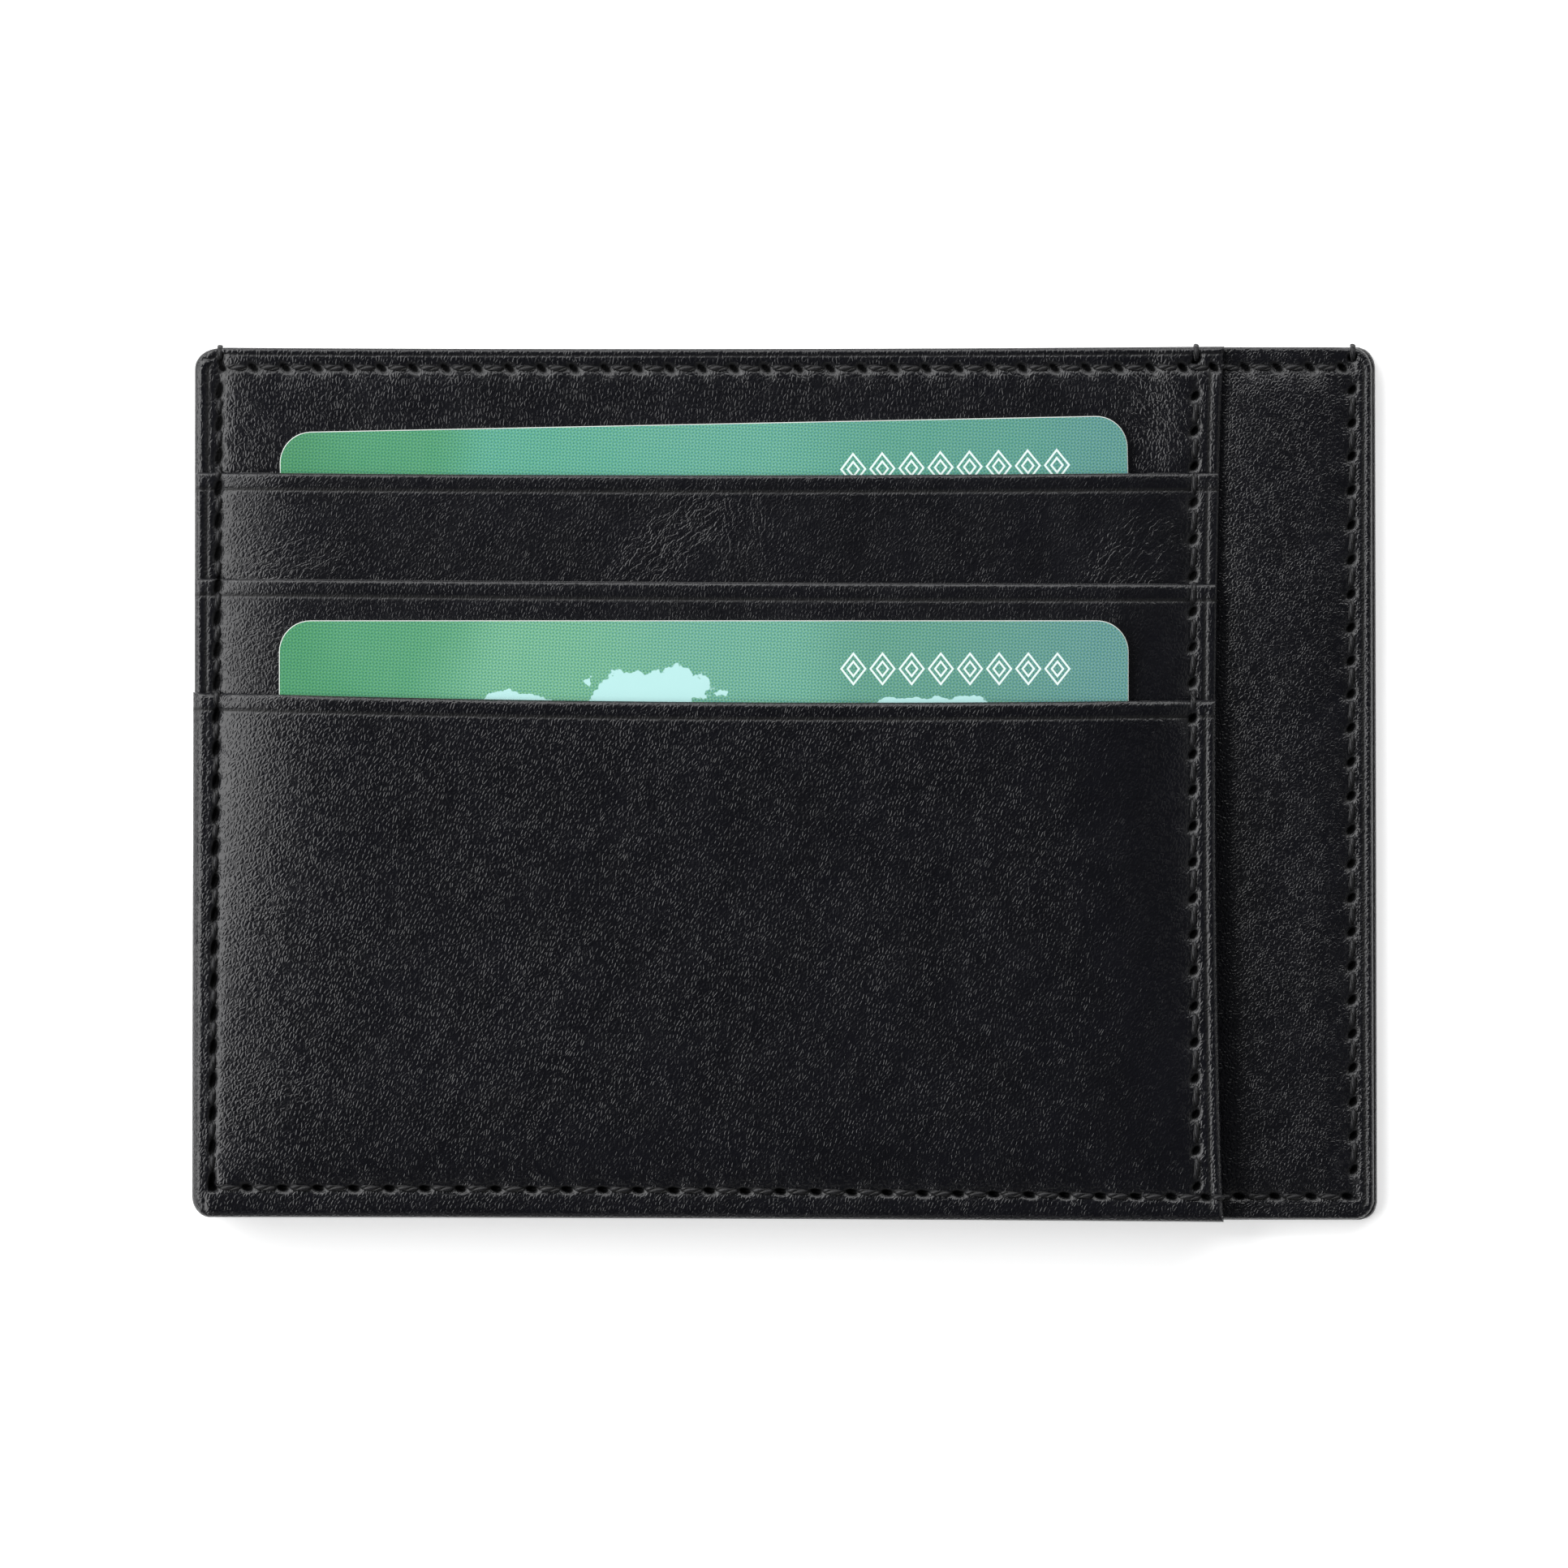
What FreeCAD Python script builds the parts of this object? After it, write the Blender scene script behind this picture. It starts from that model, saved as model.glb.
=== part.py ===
import FreeCAD, Part
import os
import Sketcher

# Slim leather card holder, lying on its back.
# +X is to the right, +Y towards the pocket mouths, +Z out of the front.
# The origin is the centre of the footprint, on the face that it lies on.
# Lengths are in millimetres.

DIMENSIONS = {
    # outline
    "holder_width": 119.6,
    "holder_height": 88.2,
    "corner_radius": 2.2,
    "front_step": 0.4,         # the front is this much narrower than the back, at the right
    "block_width": 103.8,      # the block of card pockets, from the left edge
    # thickness of each layer
    "back_leather": 0.8,
    "board": 0.25,
    "textile": 0.15,
    "base_leather": 0.6,
    "backing_leather": 0.5,
    "pocket_leather": 0.5,
    "front_leather": 0.6,
    # spaces between layers
    "note_gap": 0.35,
    "empty_slot": 0.15,
    "card_clearance": 0.1,
    # pocket mouths, measured up from the bottom edge
    "first_mouth": 75.3,
    "second_mouth": 64.4,
    "third_mouth": 52.6,
    "strip_height": 14.2,
    "slot_depth": 50.0,
    "hem_depth": 1.7,
    "mouth_tape_width": 1.5,
    "closing_tape_width": 2.0,
    # seams
    "seam_allowance": 3.8,
    "side_seam_inset": 2.3,
    "top_seam_inset": 2.1,
    "bottom_seam_inset": 2.9,
    "block_seam_inset": 2.8,
    "thread_width": 0.55,
    "thread_height": 0.25,
    "stitch_length": 2.7,
    "side_pitch": 3.4,
    "top_pitch": 3.25,
    "bottom_pitch": 3.58,
    "block_pitch": 3.6,
    "lining_margin": 0.6,
    # bank-card size cards
    "card_width": 85.6,
    "card_height": 53.98,
    "card_thick": 0.76,
    "card_corner": 3.18,
    "upper_card_left": 9.82,
    "upper_card_bottom": 25.62,
    "upper_card_tilt": 1.15,   # degrees
    "lower_card_left": 8.82,
    "lower_card_bottom": 6.6,
}

# Levels above the face that the holder lies on, each from the one below it.
LEVELS = {
    "board_level": "back_leather",
    "back_lining_level": "board_level + board",
    "note_level": "back_lining_level + textile",
    "front_lining_level": "note_level + note_gap",
    "base_level": "front_lining_level + textile",
    "backing_level": "base_level + base_leather",
    "first_slot_level": "backing_level + backing_leather",
    "first_lining_level": "first_slot_level + card_thick + 2 * card_clearance",
    "first_pocket_level": "first_lining_level + textile",
    "second_slot_level": "first_pocket_level + pocket_leather",
    "second_lining_level": "second_slot_level + empty_slot",
    "second_pocket_level": "second_lining_level + textile",
    "third_slot_level": "second_pocket_level + pocket_leather",
    "third_lining_level": "third_slot_level + card_thick + 2 * card_clearance",
    "third_pocket_level": "third_lining_level + textile",
    "front_level": "third_pocket_level + front_leather",
}

# Places measured from the holder's lower left corner, worked out from the sizes above.
PLACES = {
    "front_width": "holder_width - front_step",
    "slot_left": "seam_allowance",
    "slot_right": "block_width - seam_allowance",
    "slot_width": "slot_right - slot_left",
    "lining_left": "slot_left + lining_margin",
    "lining_width": "slot_width - 2 * lining_margin",
    "note_width": "front_width - 2 * seam_allowance",
    "note_height": "holder_height - seam_allowance - hem_depth",
    "first_slot_floor": "first_mouth - slot_depth",
    "second_slot_floor": "second_mouth - slot_depth",
    "top_seam": "holder_height - top_seam_inset",
    "block_seam": "block_width - block_seam_inset",
    "right_seam": "front_width - side_seam_inset",
    "strip_left": "block_width + lining_margin",
}

doc = FreeCAD.newDocument("card_holder")
sheet = doc.addObject("Spreadsheet::Sheet", "dims")
sub_parts = []


def fill_sheet():
    row = 1
    for name, value in DIMENSIONS.items():
        sheet.set(f"A{row}", name)
        sheet.set(f"B{row}", str(value))
        sheet.setAlias(f"B{row}", name)
        row += 1
    for name, formula in {**LEVELS, **PLACES}.items():
        sheet.set(f"A{row}", name)
        sheet.set(f"B{row}", "=" + formula)
        sheet.setAlias(f"B{row}", name)
        row += 1
    doc.recompute()


def bound(formula):
    """The formula with every name in it read from the sheet."""
    words = formula.replace("(", "( ").replace(")", " )").split()
    return " ".join("dims." + word if word[0].isalpha() else word for word in words)


def new_body(label, left="0", bottom="0", level="0"):
    """A body placed by its lower left corner, in the holder's own corner measures."""
    body = doc.addObject("PartDesign::Body", label)
    body.Label = label
    body.setExpression("Placement.Base.x", bound(f"{left} - holder_width / 2"))
    body.setExpression("Placement.Base.y", bound(f"{bottom} - holder_height / 2"))
    body.setExpression("Placement.Base.z", bound(level))
    sub_parts.append(body)
    return body


def origin_plane(body, role):
    return next(feature for feature in body.Origin.OriginFeatures if feature.Role == role)


def rectangle(body, name, width, height, left="0", bottom="0", level="0"):
    """A rectangle sketch whose first corner is the sketch's own origin."""
    sketch = body.newObject("Sketcher::SketchObject", name)
    sketch.AttachmentSupport = [(origin_plane(body, "XY_Plane"), "")]
    sketch.MapMode = "FlatFace"
    sketch.setExpression("AttachmentOffset.Base.x", bound(left))
    sketch.setExpression("AttachmentOffset.Base.y", bound(bottom))
    sketch.setExpression("AttachmentOffset.Base.z", bound(level))
    corners = [(0, 0), (3, 0), (3, 2), (0, 2)]
    for start, end in zip(corners, corners[1:] + corners[:1]):
        sketch.addGeometry(Part.LineSegment(FreeCAD.Vector(*start, 0), FreeCAD.Vector(*end, 0)), False)
    for side in range(4):
        sketch.addConstraint(Sketcher.Constraint("Coincident", side, 2, (side + 1) % 4, 1))
        sketch.addConstraint(Sketcher.Constraint("Vertical" if side % 2 else "Horizontal", side))
    sketch.addConstraint(Sketcher.Constraint("Coincident", 0, 1, -1, 1))
    for side, size_name, size in ((0, "width", width), (1, "height", height)):
        number = sketch.addConstraint(Sketcher.Constraint("Distance", side, 1.0))
        sketch.renameConstraint(number, size_name)
        sketch.setExpression("Constraints." + size_name, bound(size))
    return sketch


def pad(body, sketch, thickness):
    feature = body.newObject("PartDesign::Pad", sketch.Label + "_pad")
    feature.Profile = sketch
    feature.setExpression("Length", bound(thickness))
    body.Tip = feature
    return feature


def round_corners(body, radius, which):
    """Round the upright corners that which(x, y) picks, in the body's own measures."""
    doc.recompute()
    base = body.Tip
    names = []
    for number, edge in enumerate(base.Shape.Edges, 1):
        upright = abs(edge.tangentAt(edge.FirstParameter).z) > 0.9
        if upright and which(edge.CenterOfMass.x, edge.CenterOfMass.y):
            names.append(f"Edge{number}")
    fillet = body.newObject("PartDesign::Fillet", body.Label + "_corners")
    fillet.Base = (base, names)
    fillet.setExpression("Radius", bound(radius))
    body.Tip = fillet


def channel(body, name, width, height, left, bottom, thickness, underneath=False):
    """A shallow stitch channel in the top face, or in the bottom one."""
    doc.recompute()
    volume = body.Shape.Volume
    level = "0" if underneath else thickness
    sketch = rectangle(body, name, width, height, left, bottom, level)
    cut = body.newObject("PartDesign::Pocket", name + "_cut")
    cut.Profile = sketch
    cut.setExpression("Length", bound("thread_height"))
    cut.Reversed = underneath
    body.Tip = cut
    doc.recompute()
    if body.Shape.Volume > volume - 0.01:
        raise RuntimeError(f"{body.Label}: {name} cuts nothing")


def panel(label, width, height, level, thickness, left="0", bottom="0"):
    body = new_body(label, left, bottom, level)
    pad(body, rectangle(body, label + "_outline", width, height), thickness)
    return body


def stitch_row(body, name, along, left, bottom, level, length, pitch):
    """Stitches of one seam, side by side along X or Y, each a solid of its own."""
    flat = along == "x"
    width = "stitch_length" if flat else "thread_width"
    height = "thread_width" if flat else "stitch_length"
    sketch = rectangle(body, name, width, height, left, bottom, level)
    first = pad(body, sketch, "thread_height")
    row = body.newObject("PartDesign::LinearPattern", name + "_row")
    row.Originals = [first]
    row.Direction = (sketch, ["H_Axis" if flat else "V_Axis"])
    count = f"floor(({bound(length)}) / {bound(pitch)})"
    row.setExpression("Occurrences", count)
    row.setExpression("Length", f"({count} - 1) * {bound(pitch)}")
    body.Tip = row


def everywhere(x, y):
    return True


def back_pieces():
    """The plain back: leather, stiffening board and lining."""
    seam_left = "side_seam_inset - thread_width / 2"
    seam_bottom = "bottom_seam_inset - thread_width / 2"
    back = panel("back_panel", "holder_width", "holder_height", "0", "back_leather")
    round_corners(back, "corner_radius", everywhere)
    side_height = "top_seam - bottom_seam_inset"
    for side, left in (("left", seam_left), ("right", "right_seam - thread_width / 2")):
        channel(back, f"back_{side}_channel", "thread_width", side_height, left, "bottom_seam_inset",
                "back_leather", underneath=True)
    for side, bottom in (("bottom", seam_bottom), ("top", "top_seam - thread_width / 2")):
        channel(back, f"back_{side}_channel", "right_seam - side_seam_inset", "thread_width",
                "side_seam_inset", bottom, "back_leather", underneath=True)
    panel("back_board", "note_width", "note_height", "board_level", "board",
          left="seam_allowance", bottom="seam_allowance")
    panel("back_lining", "note_width", "note_height", "back_lining_level", "textile",
          left="seam_allowance", bottom="seam_allowance")


def note_compartment_edges():
    """The turned margins that close the note compartment at its sides and bottom."""
    gap = "base_level - board_level"
    side_height = "holder_height - corner_radius"
    panel("left_turned_edge", "seam_allowance", side_height, "board_level", gap)
    panel("right_turned_edge", "seam_allowance", side_height, "board_level", gap,
          left="front_width - seam_allowance")
    panel("bottom_turned_edge", "note_width", "seam_allowance", "board_level", gap,
          left="seam_allowance")
    for body in sub_parts[-3:-1]:
        outer = body.Label == "left_turned_edge"
        round_corners(body, "corner_radius", lambda x, y: y < 1 and (x < 1) == outer)


def front_base_pieces():
    """The full-width front piece: its lining, its leather and the backing of the pockets."""
    panel("front_lining", "note_width", "note_height", "front_lining_level", "textile",
          left="seam_allowance", bottom="seam_allowance")
    base = panel("front_base_panel", "front_width", "holder_height", "base_level", "base_leather")
    round_corners(base, "corner_radius", everywhere)
    strip_length = "right_seam - strip_left"
    channel(base, "base_right_channel", "thread_width", "top_seam - bottom_seam_inset",
            "right_seam - thread_width / 2", "bottom_seam_inset", "base_leather")
    channel(base, "base_bottom_channel", strip_length, "thread_width", "strip_left",
            "bottom_seam_inset - thread_width / 2", "base_leather")
    channel(base, "base_top_channel", strip_length, "thread_width", "strip_left",
            "top_seam - thread_width / 2", "base_leather")
    backing = panel("upper_panel", "block_width", "holder_height", "backing_level", "backing_leather")
    round_corners(backing, "corner_radius", lambda x, y: x < 1)
    open_height = "top_seam - first_mouth"
    channel(backing, "panel_left_channel", "thread_width", open_height,
            "side_seam_inset - thread_width / 2", "first_mouth", "backing_leather")
    channel(backing, "panel_right_channel", "thread_width", open_height,
            "block_seam - thread_width / 2", "first_mouth", "backing_leather")
    channel(backing, "panel_top_channel", "block_seam - side_seam_inset", "thread_width",
            "side_seam_inset", "top_seam - thread_width / 2", "backing_leather")


def pocket(name, mouth, bottom, leather_level, leather, lining_level, lining_bottom):
    """One card pocket: its leather, the tape in its mouth hem and its lining."""
    height = f"{mouth} - ( {bottom} )"
    face = panel(f"{name}_leather", "block_width", height, leather_level, leather, bottom=bottom)
    for side, left in (("left", "side_seam_inset"), ("right", "block_seam")):
        channel(face, f"{name}_{side}_channel", "thread_width", height,
                f"{left} - thread_width / 2", "0", leather)
    panel(f"{name}_mouth_tape", "lining_width", "mouth_tape_width", lining_level, "textile",
          left="lining_left", bottom=f"{mouth} - mouth_tape_width")
    panel(f"{name}_lining", "lining_width", f"{mouth} - hem_depth - ( {lining_bottom} )",
          lining_level, "textile", left="lining_left", bottom=lining_bottom)
    return face


def pocket_pieces():
    """The three stepped pockets, and the tapes that close the two hidden slot floors."""
    pocket("first_pocket", "first_mouth", "first_mouth - strip_height", "first_pocket_level",
           "pocket_leather", "first_lining_level", "first_slot_floor - closing_tape_width")
    pocket("second_pocket", "second_mouth", "second_mouth - strip_height", "second_pocket_level",
           "pocket_leather", "second_lining_level", "second_slot_floor - closing_tape_width")
    front = pocket("front_pocket", "third_mouth", "0", "third_pocket_level",
                   "front_leather", "third_lining_level", "seam_allowance")
    round_corners(front, "corner_radius", lambda x, y: x < 0.1 and y < 0.1)
    channel(front, "front_bottom_channel", "block_seam - side_seam_inset", "thread_width",
            "side_seam_inset", "bottom_seam_inset - thread_width / 2", "front_leather")
    panel("first_slot_closing_tape", "lining_width", "closing_tape_width", "first_slot_level",
          "first_lining_level - first_slot_level",
          left="lining_left", bottom="first_slot_floor - closing_tape_width")
    panel("second_slot_closing_tape", "lining_width", "closing_tape_width", "first_slot_level",
          "second_lining_level - first_slot_level",
          left="lining_left", bottom="second_slot_floor - closing_tape_width")


def side_allowance(label, left):
    """The stacked seam allowance at one side of the pockets, stepped around each pocket's leather."""
    body = new_body(label, left, "0", "first_slot_level")
    steps = [
        ("first_mouth", "first_slot_level", "first_pocket_level"),
        ("first_mouth - strip_height", "first_pocket_level", "second_slot_level"),
        ("second_mouth", "second_slot_level", "second_pocket_level"),
        ("second_mouth - strip_height", "second_pocket_level", "third_slot_level"),
        ("third_mouth", "third_slot_level", "third_pocket_level"),
    ]
    for number, (top, low, high) in enumerate(steps, 1):
        step = rectangle(body, f"{label}_step_{number}", "seam_allowance", top,
                         level=f"{low} - first_slot_level")
        pad(body, step, f"{high} - {low}")
    return body


def seam_allowances():
    """The pressed margins that close the card slots at their sides and bottom."""
    left = side_allowance("left_seam_allowance", "0")
    round_corners(left, "corner_radius", lambda x, y: x < 0.1 and y < 0.1)
    side_allowance("right_seam_allowance", "slot_right")
    panel("bottom_seam_allowance", "slot_width", "seam_allowance", "first_slot_level",
          "third_pocket_level - first_slot_level", left="slot_left")


def stepped_row(body, name, left):
    """A seam up the side of the pockets, with one run of stitches on each leather."""
    runs = [
        ("front", "bottom_seam_inset", "third_mouth", "front_level"),
        ("second", "third_mouth", "second_mouth", "third_slot_level"),
        ("first", "second_mouth", "first_mouth", "second_slot_level"),
        ("upper", "first_mouth", "top_seam", "first_slot_level"),
    ]
    for run, bottom, top, level in runs:
        stitch_row(body, f"{name}_{run}", "y", left, bottom, f"{level} - thread_height",
                   f"{top} - {bottom}", "block_pitch" if name == "block" else "side_pitch")


def threads():
    """Each seam's thread, as the stitches that lie in its channel."""
    half = "thread_width / 2"
    left = f"side_seam_inset - {half}"
    right = f"right_seam - {half}"
    bottom = f"bottom_seam_inset - {half}"
    top = f"top_seam - {half}"
    side_length = "top_seam - bottom_seam_inset"
    across = "right_seam - side_seam_inset"
    block_across = "block_seam - side_seam_inset"
    strip_across = "right_seam - strip_left"
    base_top = "backing_level - thread_height"

    outer = new_body("perimeter_thread")
    stepped_row(outer, "left", left)
    stitch_row(outer, "front_bottom", "x", "side_seam_inset", bottom, "front_level - thread_height",
               block_across, "bottom_pitch")
    stitch_row(outer, "strip_bottom", "x", "strip_left", bottom, base_top, strip_across, "bottom_pitch")
    stitch_row(outer, "strip_right", "y", right, "bottom_seam_inset", base_top, side_length, "side_pitch")
    stitch_row(outer, "back_left", "y", left, "bottom_seam_inset", "0", side_length, "side_pitch")
    stitch_row(outer, "back_right", "y", right, "bottom_seam_inset", "0", side_length, "side_pitch")
    stitch_row(outer, "back_bottom", "x", "side_seam_inset + stitch_length", bottom, "0",
               f"{across} - 2 * stitch_length", "bottom_pitch")

    block = new_body("pocket_block_thread")
    stepped_row(block, "block", f"block_seam - {half}")

    front_hem = new_body("front_hem_thread")
    stitch_row(front_hem, "panel_top", "x", "side_seam_inset + stitch_length", top,
               "first_slot_level - thread_height", f"{block_across} - 2 * stitch_length", "top_pitch")
    stitch_row(front_hem, "strip_top", "x", "strip_left", top, base_top, strip_across, "top_pitch")

    back_hem = new_body("back_hem_thread")
    stitch_row(back_hem, "back_top", "x", "side_seam_inset + stitch_length", top, "0",
               f"{across} - 2 * stitch_length", "top_pitch")

    for number, slot_floor, level in (("first", "first_slot_floor", "first_pocket_level"),
                                      ("second", "second_slot_floor", "second_pocket_level")):
        hidden = new_body(f"{number}_slot_floor_thread")
        stitch_row(hidden, f"{number}_floor", "x", "lining_left",
                   f"{slot_floor} - closing_tape_width / 2 - {half}", level, "lining_width", "top_pitch")


def card(label, left, bottom, level, tilt="0"):
    body = panel(label, "card_width", "card_height", f"{level} + card_clearance", "card_thick",
                 left=left, bottom=bottom)
    round_corners(body, "card_corner", everywhere)
    body.setExpression("Placement.Rotation.Angle", f"{bound(tilt)} * 1 deg")


def write_parts():
    doc.recompute()
    failed = [item.Label for item in doc.Objects if "Invalid" in item.State or "Error" in item.State]
    for body in sub_parts:
        if body.Shape.isNull() or not body.Shape.isValid() or not body.Shape.Solids:
            failed.append(body.Label)
    if failed:
        raise RuntimeError("these did not build: " + ", ".join(failed))
    os.makedirs("parts", exist_ok=True)
    for body in sub_parts:
        body.Shape.exportStep(f"parts/{body.Label}.step")
        box = body.Shape.BoundBox
        print(f"{body.Label}: {len(body.Shape.Solids)} solids, {body.Shape.Volume:.1f} mm3, "
              f"z {box.ZMin:.2f} to {box.ZMax:.2f}")


fill_sheet()
back_pieces()
note_compartment_edges()
front_base_pieces()
pocket_pieces()
seam_allowances()
threads()
card("upper_card", "upper_card_left", "upper_card_bottom", "first_slot_level", "upper_card_tilt")
card("lower_card", "lower_card_left", "lower_card_bottom", "third_slot_level")
write_parts()
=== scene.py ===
import math
import bmesh
import bpy
from mathutils import Matrix, Vector, noise


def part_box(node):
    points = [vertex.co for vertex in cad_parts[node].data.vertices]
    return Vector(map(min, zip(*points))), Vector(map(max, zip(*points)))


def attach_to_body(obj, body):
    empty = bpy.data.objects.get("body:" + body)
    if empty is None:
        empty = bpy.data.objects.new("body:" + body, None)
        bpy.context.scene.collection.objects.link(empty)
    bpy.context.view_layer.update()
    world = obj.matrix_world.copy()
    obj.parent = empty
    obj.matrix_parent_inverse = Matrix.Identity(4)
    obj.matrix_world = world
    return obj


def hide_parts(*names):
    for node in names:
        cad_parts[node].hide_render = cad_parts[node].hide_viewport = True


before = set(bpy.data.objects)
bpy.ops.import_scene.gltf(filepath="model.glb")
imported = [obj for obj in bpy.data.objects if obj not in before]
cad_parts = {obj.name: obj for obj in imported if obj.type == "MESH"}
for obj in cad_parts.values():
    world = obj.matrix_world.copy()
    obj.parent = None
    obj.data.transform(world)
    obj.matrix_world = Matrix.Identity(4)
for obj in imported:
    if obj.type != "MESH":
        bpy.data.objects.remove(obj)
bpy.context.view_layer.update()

mm = 0.001
print("frame loaded:", len(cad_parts), "nodes")


# Places, read from the frame.
# A node's lowest and highest corner, in millimetres.
def nodeBox(node):
    low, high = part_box(node)
    return Vector(low) / mm, Vector(high) / mm


backLow, backHigh = nodeBox("back_panel")
baseLow, baseHigh = nodeBox("front_base_panel")
_, panelHigh = nodeBox("upper_panel")
firstLow, firstHigh = nodeBox("first_pocket_leather")
secondLow, secondHigh = nodeBox("second_pocket_leather")
_, frontHigh = nodeBox("front_pocket_leather")
lowerCardLow, lowerCardHigh = nodeBox("lower_card")
upperCardLow, upperCardHigh = nodeBox("upper_card")
perimeterLow, perimeterHigh = nodeBox("perimeter_thread")
_, blockThreadHigh = nodeBox("pocket_block_thread")
_, hemThreadHigh = nodeBox("front_hem_thread")

left, right = backLow.x, backHigh.x
bottom, top = backLow.y, backHigh.y
frontRight = baseHigh.x
blockRight = panelHigh.x
firstMouth, secondMouth, thirdMouth = firstHigh.y, secondHigh.y, frontHigh.y
halfThread = 0.275
leftSeam = perimeterLow.x + halfThread
rightSeam = perimeterHigh.x - halfThread
bottomSeam = perimeterLow.y + halfThread
topSeam = hemThreadHigh.y - halfThread
blockSeam = blockThreadHigh.x - halfThread


def clamp(value, low=0.0, high=1.0):
    return max(low, min(high, value))


def mix(a, b, share):
    return a + (b - a) * share


# 0 before start, 1 after end, with an even S between them.
def ease(value, start, end):
    t = clamp((value - start) / (end - start))
    return t * t * t * (t * (6 * t - 15) + 10)


def bump(distance, width):
    return math.exp(-(distance / width) ** 2)


# A gentle curve through three values, at 0, 0.5 and 1.
def bend(t, first, middle, last):
    t = clamp(t)
    return first * (1 - t) * (1 - 2 * t) + middle * 4 * t * (1 - t) + last * t * (2 * t - 1)


# Hand-made edges aren't dead straight: where each straight line of the pattern really runs,
# as its shift at one end, the middle and the other end.
unevenness = {
    "across": [
        (left, (0.0, 0.05, 0.1)),
        (leftSeam, (-0.3, 0.12, 0.4)),
        (blockSeam, (0.4, -0.05, 0.35)),
        (blockRight, (0.15, -0.55, 0.25)),
        (rightSeam, (0.5, 0.15, 0.3)),
        (right, (0.1, 0.0, -0.1)),
    ],
    "along": [
        (bottom, (0.5, 0.35, 0.0)),
        (bottomSeam, (0.54, 0.25, -0.5)),
        (thirdMouth, (0.76, -0.25, 0.0)),
        (secondMouth, (0.44, 0.05, -0.12)),
        (firstMouth, (0.27, -0.05, 0.25)),
        (topSeam, (0.12, 0.0, 0.1)),
        (top, (0.0, -0.15, 0.1)),
    ],
}


def shiftAt(lines, value, t):
    if value <= lines[0][0]:
        return bend(t, *lines[0][1])
    for (low, lowShift), (high, highShift) in zip(lines, lines[1:]):
        if value <= high:
            share = (value - low) / (high - low)
            return mix(bend(t, *lowShift), bend(t, *highShift), share)
    return bend(t, *lines[-1][1])


# Moves a point of the straight pattern to where it lies on the finished holder.
def settle(x, y):
    up = (y - bottom) / (top - bottom)
    over = (x - left) / (blockRight - left)
    return x + shiftAt(unevenness["across"], x, up), y + shiftAt(unevenness["along"], y, over)


def swell(x, y, size, seed):
    return noise.noise(Vector((x / size, y / size, seed)))


# Surfaces of the layers.
# The leathers are pressed thin at the seams and lie over the cards between them.
form = {
    "panelTop": panelHigh.z - 0.02,
    "firstMargin": 3.34,
    "secondMargin": 4.05,
    "frontMargin": 5.1,
    "frontLowMargin": 6.22,    # high enough for the card pushed right in
    "frontCrown": 6.98,
    "riseStart": 0.45,         # from the seam line
    "backReach": 8.0,         # how far from the seam a pocket is level again
    "backPower": 2,
    "frontReach": 20.0,
    "bottomReach": 11.0,
}


# Rises from 0 and flattens out to 1; a higher power rises more steeply.
def shoulder(distance, reach, power=4):
    return 1 - (1 - clamp(distance / reach)) ** power


def overCards(x, reach, power=4):
    return (shoulder(x - leftSeam - form["riseStart"], reach, power)
            * shoulder(blockSeam - form["riseStart"] - x, reach, power))


def fromBottom(y):
    return shoulder(y - bottomSeam - form["riseStart"], form["bottomReach"])


def baseTop(x, y):
    inner = ease(x, blockRight - 1, blockRight + 3) * ease(-x, -rightSeam + 0.2, -rightSeam + 3.2)
    ends = ease(y, bottomSeam, bottomSeam + 3) * ease(-y, -topSeam, -topSeam + 2.5)
    return baseHigh.z - 0.24 + 0.22 * inner * ends + 0.05 * swell(x, y, 9, 3.1)


# The border outside the left seam falls away towards its edge.
def borderFall(x):
    return clamp((leftSeam - 0.2 - x) / 2.1) ** 1.3


def panelTop(x, y):
    atSeam = 0.3 * (1 - shoulder(x - leftSeam, 6)) + 0.12 * (1 - shoulder(topSeam - y, 5))
    puffed = 0.32 * ease(x, upperCardHigh.x, blockSeam - 1.2) * ease(y, firstMouth - 3, firstMouth + 2)
    return form["panelTop"] - atSeam + puffed - 0.1 * borderFall(x) + 0.035 * swell(x, y, 8, 1.7)


def firstTop(x, y):
    raised = overCards(x, form["backReach"], form["backPower"])
    waviness = 0.04 * swell(x, y, 10, 5.3)
    return mix(form["firstMargin"], firstHigh.z - 0.04, raised) + waviness - 0.2 * borderFall(x)


def secondTop(x, y):
    raised = overCards(x, form["backReach"], form["backPower"])
    waviness = 0.04 * swell(x, y, 10, 7.9)
    return mix(form["secondMargin"], secondHigh.z - 0.04, raised) + waviness - 0.25 * borderFall(x)


def frontMargin(y):
    return mix(form["frontLowMargin"], form["frontMargin"], ease(y, lowerCardLow.y - 2, thirdMouth + 4))


def frontTop(x, y):
    raised = overCards(x, form["frontReach"]) * fromBottom(y)
    waviness = 0.07 * swell(x, y, 16, 2.2) * raised
    return mix(frontMargin(y), form["frontCrown"], raised) + waviness - 0.5 * borderFall(x)


pocketThick = 0.52


def panelUnder(x, y):
    return baseHigh.z - 0.12


def firstUnder(x, y):
    clear = upperCardHigh.z + 0.17 if upperCardLow.x - 0.8 < x < upperCardHigh.x + 0.8 else 0
    return max(firstTop(x, y) - pocketThick, clear)


def secondUnder(x, y):
    return secondTop(x, y) - pocketThick


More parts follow.
